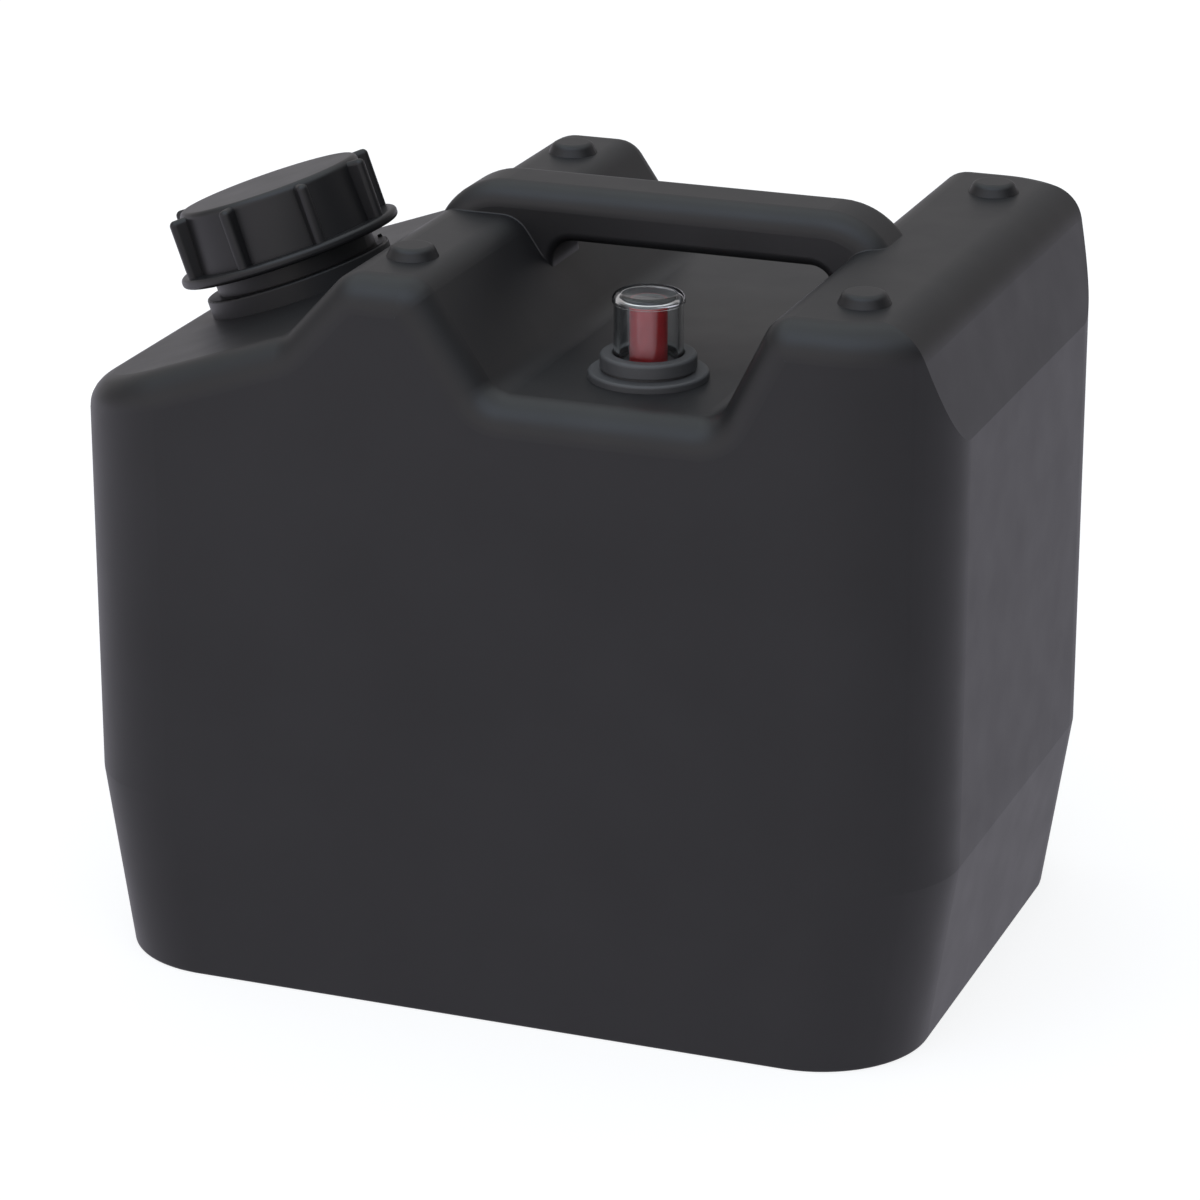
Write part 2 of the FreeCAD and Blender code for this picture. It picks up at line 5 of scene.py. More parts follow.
import bmesh
import bpy
import numpy as np
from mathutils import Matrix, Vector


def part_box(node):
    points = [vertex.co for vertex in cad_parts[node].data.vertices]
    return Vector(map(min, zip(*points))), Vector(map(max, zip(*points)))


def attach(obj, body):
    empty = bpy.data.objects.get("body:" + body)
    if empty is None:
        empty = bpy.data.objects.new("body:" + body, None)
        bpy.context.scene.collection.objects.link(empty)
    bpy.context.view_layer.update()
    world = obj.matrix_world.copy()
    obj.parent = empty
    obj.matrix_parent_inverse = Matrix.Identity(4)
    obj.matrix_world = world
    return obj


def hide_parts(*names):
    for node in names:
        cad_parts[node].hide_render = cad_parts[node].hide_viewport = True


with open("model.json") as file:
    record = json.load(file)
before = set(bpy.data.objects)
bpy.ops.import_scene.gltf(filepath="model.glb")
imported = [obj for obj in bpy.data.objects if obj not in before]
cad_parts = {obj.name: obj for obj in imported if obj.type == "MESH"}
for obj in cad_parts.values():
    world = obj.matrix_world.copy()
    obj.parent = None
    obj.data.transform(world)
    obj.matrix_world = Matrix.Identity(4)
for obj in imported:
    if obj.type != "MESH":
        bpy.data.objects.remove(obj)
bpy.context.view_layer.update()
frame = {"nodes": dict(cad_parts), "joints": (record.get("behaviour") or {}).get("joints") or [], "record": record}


# Camera
# A long lens a little above the can, from the right of square on to its gauge side. Its place and its lens
# were fitted to the outline that the photograph shows.
LENS = 137.98
SENSOR_WIDTH = 36.0
CAMERA_PLACE = (0.50785, -1.32719, 0.62388)
CAMERA_TILT = math.radians(70.05)
CAMERA_TURN = math.radians(20.82)
camera_data = bpy.data.cameras.new("camera")
camera_data.sensor_width = SENSOR_WIDTH
camera_data.lens = LENS
camera = bpy.data.objects.new("camera", camera_data)
camera.location = CAMERA_PLACE
camera.rotation_euler = (CAMERA_TILT, 0.0, CAMERA_TURN)
bpy.context.scene.collection.objects.link(camera)
bpy.context.scene.camera = camera
bpy.context.scene.view_settings.view_transform = "Standard"


# Room light
# A room with one very large soft lamp overhead, as a smooth rise of the sky from the walls to the top. The
# front wall is bright, the left and back ones are dim and the right one is dark, and the lamp is stronger
# towards the front and the left. The camera sees the room pure white, also through the clear dome.
WALL_TOP = 0.50
LAMP_EDGE = 0.86
WALL_TINT = (1.0, 0.965, 0.975)
BACK_WALL = (0.0, 0.373, 0.0)
LEFT_AND_FRONT_WALL = (0.29, 0.97, 0.0)
LAMP_LIGHT = (0.935, 1.0, 1.03)
LEFT_LAMP_LIGHT = (0.29, 0.38, 0.41)
FRONT_LAMP_LIGHT = (0.81, 1.05, 1.55)
SEEN_WHITE = (1.0, 1.0, 1.0, 1.0)
NO_DIRECTION = (0.0, 0.0, 0.0)
HALF_A_TURN = 0.5
world = bpy.data.worlds.new("soft_room")
bpy.context.scene.world = world
world.use_nodes = True
room_nodes, room_links = world.node_tree.nodes, world.node_tree.links
room_nodes.clear()


def calculation(nodes, links, kind, operation, *values):
    """Node of one calculation, whose inputs are outputs of other nodes or fixed values."""
    node = nodes.new(kind)
    node.operation = operation
    for socket, value in zip(node.inputs, values):
        if isinstance(value, bpy.types.NodeSocket):
            links.new(value, socket)
        else:
            socket.default_value = value
    return node


def number(nodes, links, operation, *values):
    """Output of one calculation on numbers."""
    return calculation(nodes, links, "ShaderNodeMath", operation, *values).outputs["Value"]


def vector(nodes, links, operation, *values):
    """Output of one calculation on vectors, which is a number for a dot product and for a length."""
    node = calculation(nodes, links, "ShaderNodeVectorMath", operation, *values)
    return node.outputs["Value" if operation in ("DOT_PRODUCT", "LENGTH") else "Vector"]


def seen_straight_on(nodes, links):
    """Share that is 1 for a ray of the camera, also one that only clear plastic has bent on its way, so that
    every turn it has made so far was a pass through something, and 0 for any other ray."""
    light_path = nodes.new("ShaderNodeLightPath").outputs
    other_turns = number(nodes, links, "SUBTRACT", light_path["Ray Depth"], light_path["Transmission Depth"])
    only_passed = number(nodes, links, "LESS_THAN", other_turns, HALF_A_TURN)
    through = number(nodes, links, "MULTIPLY", light_path["Is Transmission Ray"], only_passed)
    return number(nodes, links, "MAXIMUM", light_path["Is Camera Ray"], through)


direction = room_nodes.new("ShaderNodeTexCoord").outputs["Generated"]
backwards = vector(room_nodes, room_links, "SUBTRACT", NO_DIRECTION, direction)
right_and_back = vector(room_nodes, room_links, "MAXIMUM", direction, NO_DIRECTION)
left_and_front = vector(room_nodes, room_links, "MAXIMUM", backwards, NO_DIRECTION)

back_level = vector(room_nodes, room_links, "DOT_PRODUCT", right_and_back, BACK_WALL)
front_level = vector(room_nodes, room_links, "DOT_PRODUCT", left_and_front, LEFT_AND_FRONT_WALL)
wall = room_nodes.new("ShaderNodeVectorMath")
wall.operation = "SCALE"
wall.inputs["Vector"].default_value = WALL_TINT
room_links.new(number(room_nodes, room_links, "ADD", back_level, front_level), wall.inputs["Scale"])

sides = room_nodes.new("ShaderNodeSeparateXYZ")
left_share = room_nodes.new("ShaderNodeCombineXYZ")
front_share = room_nodes.new("ShaderNodeCombineXYZ")
room_links.new(left_and_front, sides.inputs["Vector"])
for axis in "XYZ":
    room_links.new(sides.outputs["X"], left_share.inputs[axis])
    room_links.new(sides.outputs["Y"], front_share.inputs[axis])
left_share, front_share = left_share.outputs["Vector"], front_share.outputs["Vector"]
left_lamp = vector(room_nodes, room_links, "MULTIPLY_ADD", left_share, LEFT_LAMP_LIGHT, LAMP_LIGHT)
lamp = vector(room_nodes, room_links, "MULTIPLY_ADD", front_share, FRONT_LAMP_LIGHT, left_lamp)

height = room_nodes.new("ShaderNodeSeparateXYZ")
rise = room_nodes.new("ShaderNodeMapRange")
rise.interpolation_type = "SMOOTHSTEP"
rise.inputs["From Min"].default_value = WALL_TOP
rise.inputs["From Max"].default_value = LAMP_EDGE
sky = room_nodes.new("ShaderNodeMixRGB")
room = room_nodes.new("ShaderNodeBackground")
seen_room = room_nodes.new("ShaderNodeBackground")
seen_room.inputs["Color"].default_value = SEEN_WHITE
room_mix = room_nodes.new("ShaderNodeMixShader")
room_out = room_nodes.new("ShaderNodeOutputWorld")
room_links.new(direction, height.inputs["Vector"])
room_links.new(height.outputs["Z"], rise.inputs["Value"])
room_links.new(rise.outputs["Result"], sky.inputs["Fac"])
room_links.new(wall.outputs["Vector"], sky.inputs["Color1"])
room_links.new(lamp, sky.inputs["Color2"])
room_links.new(sky.outputs["Color"], room.inputs["Color"])
room_links.new(seen_straight_on(room_nodes, room_links), room_mix.inputs["Fac"])
room_links.new(room.outputs["Background"], room_mix.inputs[1])
room_links.new(seen_room.outputs["Background"], room_mix.inputs[2])
room_links.new(room_mix.outputs["Shader"], room_out.inputs["Surface"])


# Floor
# A white sweep under the can, seen almost pure white with only a faint shadow left in it. Its mirror image
# in the plastic is brighter at the left, as the room is.
FLOOR_HALF = 6.0
PAPER_WHITE = (0.9, 0.9, 0.9, 1.0)
PAPER_ROUGHNESS = 0.9
SHADOW_SHARE = 0.36
GLOW_STRENGTH = 1.24
MIRRORED_LEVEL = 0.64
MIRRORED_LEFT = 0.85
MIRRORED_LEFT_X = -1.0
MIRRORED_TINT = (0.975, 0.95, 1.065, 1.0)
floor_mesh = bpy.data.meshes.new("floor")
floor_corners = [(x * FLOOR_HALF, y * FLOOR_HALF, 0.0) for x, y in ((-1, -1), (1, -1), (1, 1), (-1, 1))]
floor_mesh.from_pydata(floor_corners, [], [(0, 1, 2, 3)])
floor = bpy.data.objects.new("floor", floor_mesh)
bpy.context.scene.collection.objects.link(floor)
floor_material = bpy.data.materials.new("white_sweep")
floor_material.use_nodes = True
floor_nodes, floor_links = floor_material.node_tree.nodes, floor_material.node_tree.links
paper = floor_nodes["Principled BSDF"]
paper.inputs["Base Color"].default_value = PAPER_WHITE
paper.inputs["Roughness"].default_value = PAPER_ROUGHNESS
glow = floor_nodes.new("ShaderNodeEmission")
glow.inputs["Strength"].default_value = GLOW_STRENGTH
floor_seen = seen_straight_on(floor_nodes, floor_links)
glow_share = number(floor_nodes, floor_links, "MULTIPLY", floor_seen, 1.0 - SHADOW_SHARE)
floor_mix = floor_nodes.new("ShaderNodeMixShader")
floor_place = floor_nodes.new("ShaderNodeTexCoord")
floor_side = floor_nodes.new("ShaderNodeSeparateXYZ")
mirrored_level = floor_nodes.new("ShaderNodeMapRange")
mirrored_level.inputs["From Min"].default_value = MIRRORED_LEFT_X
mirrored_level.inputs["From Max"].default_value = 0.0
mirrored_level.inputs["To Min"].default_value = MIRRORED_LEFT
mirrored_level.inputs["To Max"].default_value = MIRRORED_LEVEL
mirrored = floor_nodes.new("ShaderNodeEmission")
mirrored.inputs["Color"].default_value = MIRRORED_TINT
mirrored_mix = floor_nodes.new("ShaderNodeMixShader")
mirror_rays = floor_nodes.new("ShaderNodeLightPath")
floor_links.new(glow_share, floor_mix.inputs["Fac"])
floor_links.new(paper.outputs["BSDF"], floor_mix.inputs[1])
floor_links.new(glow.outputs["Emission"], floor_mix.inputs[2])
floor_links.new(floor_place.outputs["Object"], floor_side.inputs["Vector"])
floor_links.new(floor_side.outputs["X"], mirrored_level.inputs["Value"])
floor_links.new(mirrored_level.outputs["Result"], mirrored.inputs["Strength"])
floor_links.new(mirror_rays.outputs["Is Glossy Ray"], mirrored_mix.inputs["Fac"])
floor_links.new(floor_mix.outputs["Shader"], mirrored_mix.inputs[1])
floor_links.new(mirrored.outputs["Emission"], mirrored_mix.inputs[2])
floor_links.new(mirrored_mix.outputs["Shader"], floor_nodes["Material Output"].inputs["Surface"])
floor_mesh.materials.append(floor_material)


# Tank
# One blow-moulded shell of black polyethylene: tank, neck, handle, knobs and gauge boss together. Its satin
# skin has a very fine grain from the mould, and its flats are a little uneven, as blown walls are.
MM = 0.001
PLASTIC_IOR = 1.5
BLACK = (0.0105, 0.0102, 0.0112)
TONE_PATCHES = 22.0
TONE_DETAIL = 4.0
TONE_RANGE = (0.3, 0.7)
TONE_DRIFT = 0.15
HANDLED_PATCHES = 60.0
HANDLED_DETAIL = 6.0
GLOSS_DRIFT = 0.05
SAG_DETAIL = 1.0


def noise(nodes, links, scale, detail=2.0):
    """Output of a noise fixed to the piece, with spots about 1 / scale metres across."""
    spots = nodes.new("ShaderNodeTexNoise")
    spots.inputs["Scale"].default_value = scale
    spots.inputs["Detail"].default_value = detail
    links.new(nodes.new("ShaderNodeTexCoord").outputs["Object"], spots.inputs["Vector"])
    return spots.outputs["Fac"]


def bump(nodes, links, heights, depth, strength=1.0, over=None):
    """Output of a relief of a depth in metres, on top of another relief where one is given."""
    relief = nodes.new("ShaderNodeBump")
    relief.inputs["Strength"].default_value = strength
    relief.inputs["Distance"].default_value = depth
    links.new(heights, relief.inputs["Height"])
    if over is not None:
        links.new(over, relief.inputs["Normal"])
    return relief.outputs["Normal"]


def gloss_between(nodes, links, spots, lowest, highest):
    """Output of a roughness that follows a noise between two levels."""
    gloss = nodes.new("ShaderNodeMapRange")
    gloss.inputs["To Min"].default_value = lowest
    gloss.inputs["To Max"].default_value = highest
    links.new(spots, gloss.inputs["Value"])
    return gloss.outputs["Result"]


def moulded_plastic(name, colour, roughness, grain_size, grain_depth, sag_size, sag_depth):
    """Satin plastic whose colour and roughness drift in patches, with fine grain over slow unevenness."""
    material = bpy.data.materials.new(name)
    material.use_nodes = True
    nodes, links = material.node_tree.nodes, material.node_tree.links
    skin = nodes["Principled BSDF"]
    skin.inputs["IOR"].default_value = PLASTIC_IOR

    tone = nodes.new("ShaderNodeValToRGB")
    darkest, palest = tone.color_ramp.elements
    darkest.position, palest.position = TONE_RANGE
    darkest.color = [part * (1.0 - TONE_DRIFT) for part in colour] + [1.0]
    palest.color = [min(part * (1.0 + TONE_DRIFT), 1.0) for part in colour] + [1.0]
    links.new(noise(nodes, links, TONE_PATCHES, TONE_DETAIL), tone.inputs["Fac"])
    links.new(tone.outputs["Color"], skin.inputs["Base Color"])

    handled = noise(nodes, links, HANDLED_PATCHES, HANDLED_DETAIL)
    gloss = gloss_between(nodes, links, handled, roughness - GLOSS_DRIFT, roughness + GLOSS_DRIFT)
    links.new(gloss, skin.inputs["Roughness"])

    sag = bump(nodes, links, noise(nodes, links, 1.0 / sag_size, SAG_DETAIL), sag_depth)
    grain = bump(nodes, links, noise(nodes, links, 1.0 / grain_size), grain_depth, over=sag)
    links.new(grain, skin.inputs["Normal"])
    return material


def finish_node(node, material):
    """Give a solid of the frame its own finish."""
    solid = frame["nodes"][node]
    solid.data.materials.clear()
    solid.data.materials.append(material)


tank_plastic = moulded_plastic(
    "tank_polyethylene", BLACK, roughness=0.42,
    grain_size=0.9 * MM, grain_depth=0.01 * MM, sag_size=70 * MM, sag_depth=0.05 * MM)
finish_node("canister_body", tank_plastic)


# Neck thread
# Two and a quarter turns of right-hand thread, 6 mm from turn to turn, blown with the neck. Its ends run
# out into the neck's wall.
joints = {joint["name"]: joint for joint in frame["joints"]}
NECK_AXIS = np.array(joints["cap_turn"]["axis"])
LIP = np.array(joints["cap_turn"]["pos_m"])
NECK_WALL_R = 27.1 * MM
NECK_CREST_R = 28.6 * MM
NECK_THREAD_START = -16.2 * MM
NECK_TURNS = (0.0, 2.25)
THREAD_PITCH = 6.0 * MM
THREAD_LIFT = np.array([-1.5, -1.5, -0.95, -0.72, -0.45, 0.45, 0.72, 0.95, 1.5, 1.5]) * MM
THREAD_RISE = np.array([0.0, 0.0, 0.75, 0.97, 1.0, 1.0, 0.97, 0.75, 0.0, 0.0])
THREAD_ROOT = 0.12 * MM
THREAD_RUN_OUT = math.radians(40.0)
THREAD_END_WIDTH = 0.4
STEPS_PER_TURN = 72
WELD_GAP = 0.001 * MM
SHARP_FROM = math.radians(40.0)


def round_axis(axis, radius, height, angle):
    """Points at a radius and an angle round an axis, and at a height along it: the sum of height * axis and
    radius * (across * cos(angle) + along * sin(angle)), with across and along square to the axis."""
    across = np.cross((0.0, 1.0, 0.0), axis)
    across = across / np.linalg.norm(across)
    along = np.cross(axis, across)
    radius, height, angle = np.broadcast_arrays(radius, height, angle)
    ring = np.cos(angle)[..., None] * across + np.sin(angle)[..., None] * along
    return radius[..., None] * ring + height[..., None] * axis


def skin_over(name, grid, material, body, closed_rows=False):
    """Object whose mesh joins each row of a grid of points, a closed ring, to the next row by quads. With
    closed_rows the last ring also joins the first, and otherwise both end rings are filled, or are poles."""
    rows, columns = grid.shape[:2]
    index = np.arange(rows * columns).reshape(rows, columns)
    beside = np.roll(index, -1, axis=1)
    below, below_beside = np.roll(index, -1, axis=0), np.roll(beside, -1, axis=0)
    quads = np.stack([index, beside, below_beside, below], axis=-1)
    if closed_rows:
        faces = quads.reshape(-1, 4).tolist()
    else:
        faces = quads[:-1].reshape(-1, 4).tolist() + [index[0, ::-1].tolist(), index[-1].tolist()]
    mesh = bpy.data.meshes.new(name)
    mesh.from_pydata(grid.reshape(-1, 3), [], faces)
    joined = bmesh.new()
    joined.from_mesh(mesh)
    bmesh.ops.remove_doubles(joined, verts=joined.verts, dist=WELD_GAP)
    bmesh.ops.recalc_face_normals(joined, faces=joined.faces)
    joined.to_mesh(mesh)
    joined.free()
    mesh.shade_smooth()
    mesh.set_sharp_from_angle(angle=SHARP_FROM)
    mesh.materials.append(material)
    piece = bpy.data.objects.new(name, mesh)
    bpy.context.scene.collection.objects.link(piece)
    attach(piece, body)
    return piece


def thread_grid(wall_r, crest_r, start, first_turn, last_turn):
    """Helix of a rounded trapezoid section. At angle t its middle is at height start + pitch * t / 2 pi. It
    stands out from the wall by a share 3 s^2 - 2 s^3, where s is the angle to the nearer end over the
    run-out, at most 1, and it narrows with that share too."""
    steps = int((last_turn - first_turn) * STEPS_PER_TURN)
    angle = 2 * math.pi * np.linspace(first_turn, last_turn, steps)[:, None]
    share = np.clip(np.minimum(angle - angle[0], angle[-1] - angle) / THREAD_RUN_OUT, 0.0, 1.0)
    share = share * share * (3.0 - 2.0 * share)
    depth = crest_r - wall_r
    root = np.zeros_like(THREAD_RISE)
    root[[0, -1]] = -THREAD_ROOT * np.sign(depth)
    radius = wall_r + root + THREAD_RISE * depth * share
    width = THREAD_END_WIDTH + (1.0 - THREAD_END_WIDTH) * share
    along = start + THREAD_PITCH * angle / (2 * math.pi) + THREAD_LIFT * width
    return LIP + round_axis(NECK_AXIS, radius, along, angle)


neck_thread = thread_grid(NECK_WALL_R, NECK_CREST_R, NECK_THREAD_START, *NECK_TURNS)
skin_over("neck_thread", neck_thread, tank_plastic, "canister")


# Pinch-off seam
# Where the mould closed the soft tube at its lower end it left a thin welded ridge, along the middle of
# the pocket under the can.
openings = {opening["name"]: opening["box_m"] for opening in frame["record"]["physics"]["openings"]}
POCKET_LOW, POCKET_HIGH = np.array(openings["stacking_pocket"])
OPENING_GAP = 0.3 * MM
POCKET_ROOF = POCKET_HIGH[2] + OPENING_GAP
SEAM_HALF_WIDTH = 0.6 * MM
SEAM_DEPTH = 0.8 * MM
SEAM_ROOT = 0.05 * MM
SEAM_END_GAP = 8 * MM
SEAM_TAPER = 1 / 30
SEAM_STEPS = 160
SEAM_SIDE_STEPS = 9


def seam_grid(start_x, end_x):
    """Long ridge along X under the roof: its section is half an ellipse, which shrinks to nothing at both
    ends as the square root of the distance from the end."""
    place = np.linspace(0.0, 1.0, SEAM_STEPS)[:, None]
    share = np.sqrt(np.clip(np.minimum(place, 1.0 - place) / SEAM_TAPER, 0.0, 1.0))
    turn = np.linspace(0.0, math.pi, SEAM_SIDE_STEPS)
    x = start_x + (end_x - start_x) * place
    y = SEAM_HALF_WIDTH * np.cos(turn) * share
    z = POCKET_ROOF + SEAM_ROOT - (SEAM_DEPTH + SEAM_ROOT) * np.sin(turn) * share
    return np.stack(np.broadcast_arrays(x, y, z), axis=-1)


seam = seam_grid(POCKET_LOW[0] + SEAM_END_GAP, POCKET_HIGH[0] - SEAM_END_GAP)
skin_over("pinch_off_seam", seam, tank_plastic, "canister")


# Cap
# Injection-moulded black polyethylene, with eight grip ribs and a foot flange. It screws on to the neck, and
# its skin is a little smoother than the tank's.
cap_plastic = moulded_plastic(
    "cap_polyethylene", BLACK, roughness=0.40,
    grain_size=0.6 * MM, grain_depth=0.008 * MM, sag_size=20 * MM, sag_depth=0.06 * MM)
finish_node("cap_shell", cap_plastic)


# Cap thread
# A turn and a half of thread, moulded inside the cap's skirt. It lies just under the neck's thread, and
# draws the cap down against it.
CAP_WALL_R = 29.3 * MM
CAP_CREST_R = 27.55 * MM
CAP_THREAD_DROP = 2.3 * MM
CAP_TURNS = (0.6, 2.1)
cap_thread = thread_grid(CAP_WALL_R, CAP_CREST_R, NECK_THREAD_START - CAP_THREAD_DROP, *CAP_TURNS)
skin_over("cap_thread", cap_thread, cap_plastic, "cap")


# Cap gasket
# Soft polyethylene disc that stays in the cap and seals on the neck's lip, which has pressed a shallow ring
# into it.
SOFT_WHITE = (0.62, 0.62, 0.58)
GASKET_R = 29.0 * MM
GASKET_FOOT = 0.1 * MM
GASKET_HEAD = 2.1 * MM
GASKET_EDGE_R = 0.3 * MM
IMPRINT_INNER_R = 24.6 * MM
IMPRINT_OUTER_R = 27.1 * MM
IMPRINT_DEPTH = 0.25 * MM
IMPRINT_SIDE = 0.2 * MM
ARC_POINTS = 11
LONG_SIDE = 0.6 * MM
END_GAP = 0.05 * MM
ROUND_SEGMENTS = 160
gasket_plastic = moulded_plastic(
    "gasket_polyethylene", SOFT_WHITE, roughness=0.5,
    grain_size=0.4 * MM, grain_depth=0.01 * MM, sag_size=12 * MM, sag_depth=0.03 * MM)


def rounded_profile(corners):
    """Outline through corners of (radius, height, edge radius). Each edge radius becomes an arc that touches
    both sides: with u and v from its middle to its ends and t the angle between them, the point at share s is
    (sin((1 - s) t) u + sin(s t) v) / sin t. Each long side gets a point close to both of its ends."""
    places = [np.array(corner[:2]) for corner in corners]
    runs = []
    for i, (*_, edge_r) in enumerate(corners):
        here = places[i]
        if edge_r == 0.0:
            runs.append(here[None, :])
            continue
        back, on = places[i - 1] - here, places[i + 1] - here
        back, on = back / np.linalg.norm(back), on / np.linalg.norm(on)
        half = math.acos(np.dot(back, on)) / 2
        turn = math.pi - 2 * half
        middle = here + (back + on) / np.linalg.norm(back + on) * edge_r / math.sin(half)
        first = here + back * edge_r / math.tan(half) - middle
        last = here + on * edge_r / math.tan(half) - middle
        share = np.linspace(0.0, 1.0, ARC_POINTS)[:, None]
        arc = np.sin((1 - share) * turn) * first + np.sin(share * turn) * last
        runs.append(middle + arc / math.sin(turn))
    outline = np.concatenate(runs)
    side = np.diff(outline, axis=0)
    length = np.linalg.norm(side, axis=1)
    sides = np.flatnonzero(length > LONG_SIDE)
    step = side[sides] * END_GAP / length[sides, None]
    near_ends = np.stack([outline[sides] + step, outline[sides + 1] - step], axis=1)
    return np.insert(outline, np.repeat(sides + 1, 2), near_ends.reshape(-1, 2), axis=0)


def turned_grid(outline, centre, axis, segments=ROUND_SEGMENTS):
    """Outline of radii and heights turned round an axis through a centre: one ring for each point."""
    angle = np.linspace(0.0, 2 * math.pi, segments, endpoint=False)[None, :]
    return centre + round_axis(axis, outline[:, :1], outline[:, 1:], angle)


gasket_outline = rounded_profile([
    (0.0, GASKET_HEAD, 0.0),
    (GASKET_R, GASKET_HEAD, GASKET_EDGE_R),
    (GASKET_R, GASKET_FOOT, GASKET_EDGE_R),
    (IMPRINT_OUTER_R + IMPRINT_SIDE, GASKET_FOOT, 0.0),
    (IMPRINT_OUTER_R, GASKET_FOOT + IMPRINT_DEPTH, 0.0),
    (IMPRINT_INNER_R, GASKET_FOOT + IMPRINT_DEPTH, 0.0),
    (IMPRINT_INNER_R - IMPRINT_SIDE, GASKET_FOOT, 0.0),
    (0.0, GASKET_FOOT, 0.0),
])
gasket_grid = turned_grid(gasket_outline, LIP, NECK_AXIS)
gasket = skin_over("cap_gasket_disc", gasket_grid, gasket_plastic, "cap_seal")
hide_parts("cap_gasket")


# Gauge base
# Plug turned from black polyethylene, with a flange that seals the boss and a matte, machined skin. The dome
# and the clamp ring sit on it.
GAUGE_GREY = (0.060, 0.060, 0.062)
gauge_plastic = moulded_plastic(
    "gauge_polyethylene", GAUGE_GREY, roughness=0.50,
    grain_size=0.4 * MM, grain_depth=0.008 * MM, sag_size=9 * MM, sag_depth=0.02 * MM)
finish_node("gauge_base", gauge_plastic)


# Seals
# Black rubber: the flat ring under the plug's flange, and the round-section ring under the dome's foot,
# which the clamp ring squashes nearly square in its groove.
RUBBER_BLACK = (0.012, 0.012, 0.012)
DOME_LOW, DOME_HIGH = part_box("sight_dome")
GAUGE_CENTRE = (DOME_LOW + DOME_HIGH) / 2
SEAT = np.array((GAUGE_CENTRE.x, GAUGE_CENTRE.y, DOME_LOW.z))
UP = np.array((0.0, 0.0, 1.0))
SEAL_LOW, SEAL_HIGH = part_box("dome_seal_ring")
SEAL_SECTION_R = (SEAL_HIGH.z - SEAL_LOW.z) / 2
SEAL_RING_R = (SEAL_HIGH.x - SEAL_LOW.x) / 2 - SEAL_SECTION_R
SEAL_SQUARENESS = 2.8
SEAL_SECTION_STEPS = 40
SEAL_SEGMENTS = 120
rubber = moulded_plastic(
    "seal_rubber", RUBBER_BLACK, roughness=0.62,
    grain_size=0.25 * MM, grain_depth=0.02 * MM, sag_size=5 * MM, sag_depth=0.03 * MM)
finish_node("base_gasket", rubber)


def squashed_section(ring_r, section_r):
    """Section |x/r|^n + |y/r|^n = 1 of a round ring squashed in a square groove, as radii and heights."""
    turn = np.linspace(0.0, 2 * math.pi, SEAL_SECTION_STEPS, endpoint=False)
    x = np.sign(np.cos(turn)) * np.abs(np.cos(turn)) ** (2 / SEAL_SQUARENESS)
    y = np.sign(np.sin(turn)) * np.abs(np.sin(turn)) ** (2 / SEAL_SQUARENESS)
    return np.stack([ring_r + section_r * x, section_r * y - section_r], axis=-1)


seal_grid = turned_grid(squashed_section(SEAL_RING_R, SEAL_SECTION_R), SEAT, UP, SEAL_SEGMENTS)
seal = skin_over("dome_seal", seal_grid, rubber, "canister", closed_rows=True)
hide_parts("dome_seal_ring")


# Sight dome
# Clear injection-moulded cup with a bead round its head. The clamp ring holds its foot down on the plug, and
# the rod's head stands inside it.
CLEAR_IOR = 1.49
CLEAR_COOLEST = (0.93, 0.95, 0.96, 1.0)
CLEAR_PALEST = (0.99, 1.0, 1.0, 1.0)
TINT_PATCHES = 90.0
WEAR_SPOTS = 350.0
WEAR_DETAIL = 5.0
WEAR_ROUGHNESS = (0.01, 0.05)
FLOW_WAVES = 160.0
FLOW_DETAIL = 0.0
FLOW_DEPTH = 0.03 * MM
FLOW_STRENGTH = 0.6
DOME_HEAD = DOME_HIGH.z - DOME_LOW.z
DOME_FOOT_R = DOME_HIGH.x - GAUGE_CENTRE.x
DOME_FOOT_THICKNESS = 1.2 * MM
DOME_R = 10.8 * MM
DOME_BORE_R = 9.1 * MM
DOME_CEILING = DOME_HEAD - 2.2 * MM
DOME_CEILING_EDGE_R = 0.9 * MM
DOME_EDGE_R = 0.2 * MM
DOME_ROOT_R = 0.3 * MM
BEAD_R = 11.3 * MM
BEAD_FOOT = DOME_HEAD - 3.2 * MM
BEAD_HEAD_EDGE_R = 2.4 * MM
BEAD_FOOT_EDGE_R = 0.25 * MM


def clear_plastic(name):
    """Clear plastic with a faint cool tint, whose skin is a little uneven from the mould and a little worn."""
    material = bpy.data.materials.new(name)
    material.use_nodes = True
    nodes, links = material.node_tree.nodes, material.node_tree.links
    skin = nodes["Principled BSDF"]
    skin.inputs["IOR"].default_value = CLEAR_IOR
    skin.inputs["Transmission Weight"].default_value = 1.0
    tint = nodes.new("ShaderNodeValToRGB")
    tint.color_ramp.elements[0].color = CLEAR_COOLEST
    tint.color_ramp.elements[1].color = CLEAR_PALEST
    links.new(noise(nodes, links, TINT_PATCHES), tint.inputs["Fac"])
    links.new(tint.outputs["Color"], skin.inputs["Base Color"])
    wear = noise(nodes, links, WEAR_SPOTS, WEAR_DETAIL)
    links.new(gloss_between(nodes, links, wear, *WEAR_ROUGHNESS), skin.inputs["Roughness"])
    flow = noise(nodes, links, FLOW_WAVES, FLOW_DETAIL)
    links.new(bump(nodes, links, flow, FLOW_DEPTH, FLOW_STRENGTH), skin.inputs["Normal"])
    return material


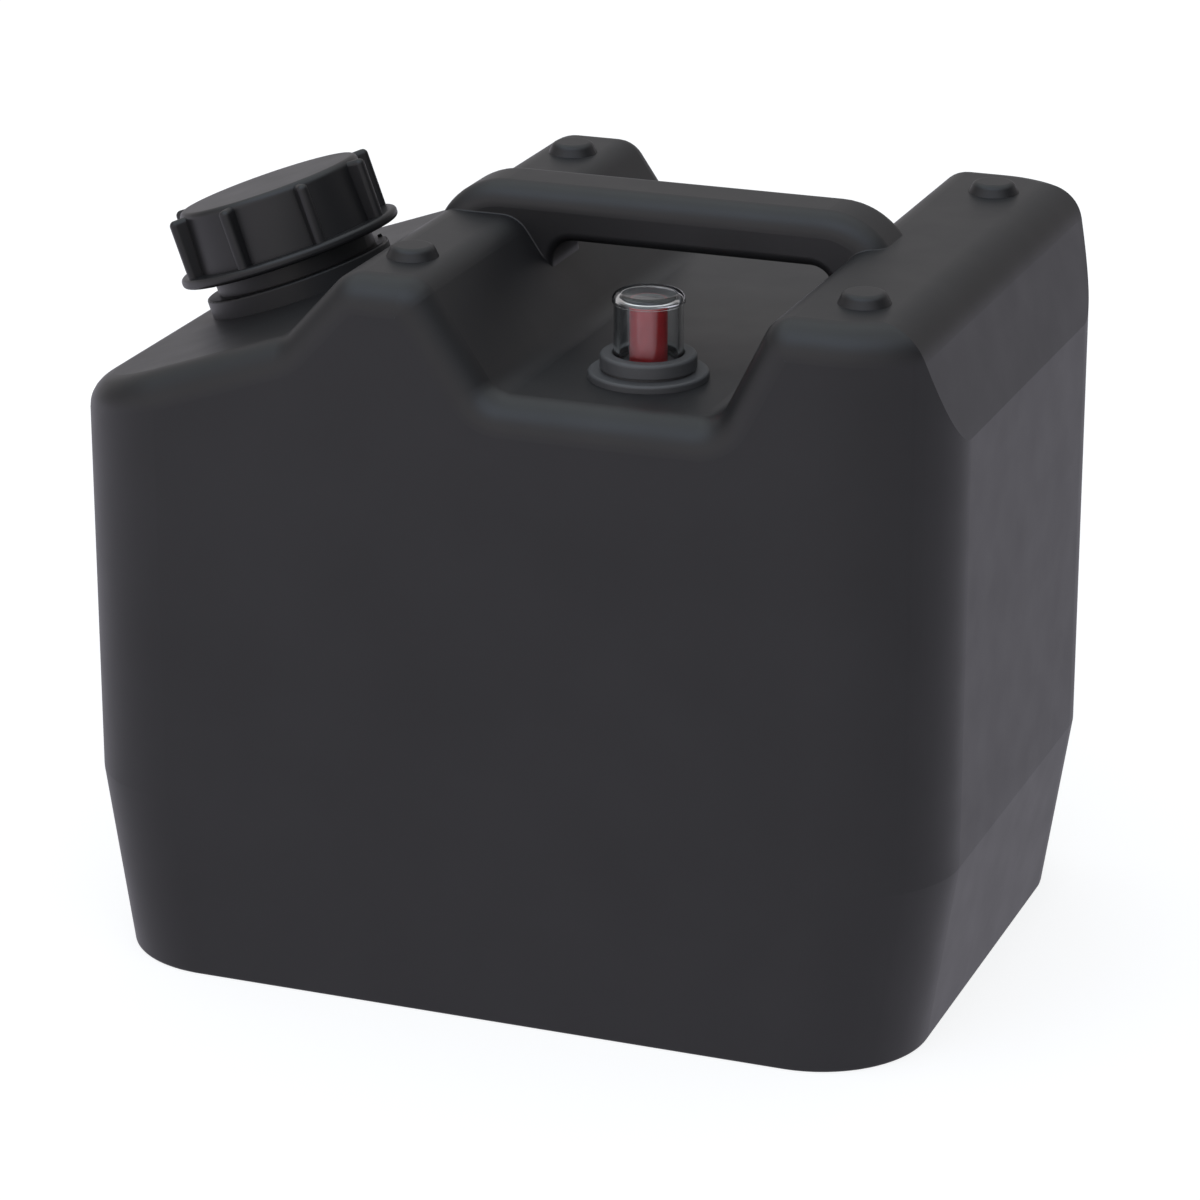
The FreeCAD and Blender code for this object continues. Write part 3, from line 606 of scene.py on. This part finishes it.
dome_outline = rounded_profile([
    (0.0, DOME_HEAD, 0.0),
    (BEAD_R, DOME_HEAD, BEAD_HEAD_EDGE_R),
    (BEAD_R, BEAD_FOOT, BEAD_FOOT_EDGE_R),
    (DOME_R, BEAD_FOOT, DOME_EDGE_R),
    (DOME_R, DOME_FOOT_THICKNESS, DOME_ROOT_R),
    (DOME_FOOT_R, DOME_FOOT_THICKNESS, DOME_EDGE_R),
    (DOME_FOOT_R, 0.0, DOME_EDGE_R),
    (DOME_BORE_R, 0.0, DOME_EDGE_R),
    (DOME_BORE_R, DOME_CEILING, DOME_CEILING_EDGE_R),
    (0.0, DOME_CEILING, 0.0),
])
dome_grid = turned_grid(dome_outline, SEAT, UP)
dome = skin_over("gauge_dome", dome_grid, clear_plastic("clear_dome"), "canister")
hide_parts("sight_dome")


# Clamp ring
# Black collar of the plug's own polyethylene, pressed over the plug's spigot. Its lip holds down the dome's
# foot.
finish_node("dome_clamp_ring", gauge_plastic)


# Rod guide bush
# Bearing turned from white acetal and pressed into the plug from below. The thick head of the rod slides
# in it.
ACETAL_WHITE = (0.72, 0.72, 0.70)
bush_plastic = moulded_plastic(
    "white_acetal", ACETAL_WHITE, roughness=0.34,
    grain_size=0.3 * MM, grain_depth=0.006 * MM, sag_size=3 * MM, sag_depth=0.01 * MM)
finish_node("rod_guide_bush", bush_plastic)


# Indicator rod
# Black rod, whose thick head is the level mark that is seen through the dome. The head's side has a glossy red
# coat, and the thin stem down through the float is bare. The head's end is grey inside a thin red rim: that grey
# disc is a painted reflection.
ROD_RED = (0.42, 0.018, 0.022)
# Dark grey of the bare stem, and of the painted reflection on the head's end.
STEM_AND_PAINTED_REFLECTION_GREY = (0.030, 0.030, 0.032, 1.0)
COAT_ROUGHNESS = 0.06
STEM_AND_PAINTED_REFLECTION_R = 4.9 * MM
RED_FROM_R = 5.1 * MM
rod_plastic = moulded_plastic(
    "indicator_red", ROD_RED, roughness=0.33,
    grain_size=0.35 * MM, grain_depth=0.006 * MM, sag_size=6 * MM, sag_depth=0.02 * MM)
rod_nodes, rod_links = rod_plastic.node_tree.nodes, rod_plastic.node_tree.links
rod_skin = rod_nodes["Principled BSDF"]
rod_skin.inputs["Coat Weight"].default_value = 1.0
rod_skin.inputs["Coat Roughness"].default_value = COAT_ROUGHNESS
rod_place = rod_nodes.new("ShaderNodeTexCoord").outputs["Object"]
gauge_axis = (GAUGE_CENTRE.x, GAUGE_CENTRE.y, 0.0)
from_axis = vector(rod_nodes, rod_links, "SUBTRACT", rod_place, gauge_axis)
flat_offset = vector(rod_nodes, rod_links, "MULTIPLY", from_axis, (1.0, 1.0, 0.0))
# Grey inside a radius from the gauge's axis and red outside it: the grey is the bare stem and, on the head's end,
# a painted reflection.
red_outside_painted_reflection = rod_nodes.new("ShaderNodeMapRange")
red_outside_painted_reflection.inputs["From Min"].default_value = STEM_AND_PAINTED_REFLECTION_R
red_outside_painted_reflection.inputs["From Max"].default_value = RED_FROM_R
rod_red_and_painted_reflection = rod_nodes.new("ShaderNodeMixRGB")
rod_red_and_painted_reflection.inputs["Color1"].default_value = STEM_AND_PAINTED_REFLECTION_GREY
red_patches = rod_skin.inputs["Base Color"].links[0].from_socket
rod_links.new(vector(rod_nodes, rod_links, "LENGTH", flat_offset), red_outside_painted_reflection.inputs["Value"])
rod_links.new(red_outside_painted_reflection.outputs["Result"], rod_red_and_painted_reflection.inputs["Fac"])
rod_links.new(red_patches, rod_red_and_painted_reflection.inputs["Color2"])
rod_links.new(rod_red_and_painted_reflection.outputs["Color"], rod_skin.inputs["Base Color"])
finish_node("indicator_rod", rod_plastic)


# Float
# Closed float moulded in natural polypropylene, milky and satin. A push-on ring of white acetal holds it on
# the stem.
NATURAL_WHITE = (0.70, 0.69, 0.64)
float_plastic = moulded_plastic(
    "float_polypropylene", NATURAL_WHITE, roughness=0.42,
    grain_size=0.8 * MM, grain_depth=0.01 * MM, sag_size=8 * MM, sag_depth=0.05 * MM)
finish_node("gauge_float", float_plastic)
finish_node("float_clip", bush_plastic)


# Guide tube
# Slotted tube of the plug's polyethylene, pushed over the plug's stem round the float. A drained plug closes
# its lower end and stops the falling rod.
finish_node("float_guide_tube", gauge_plastic)
finish_node("guide_tube_plug", gauge_plastic)
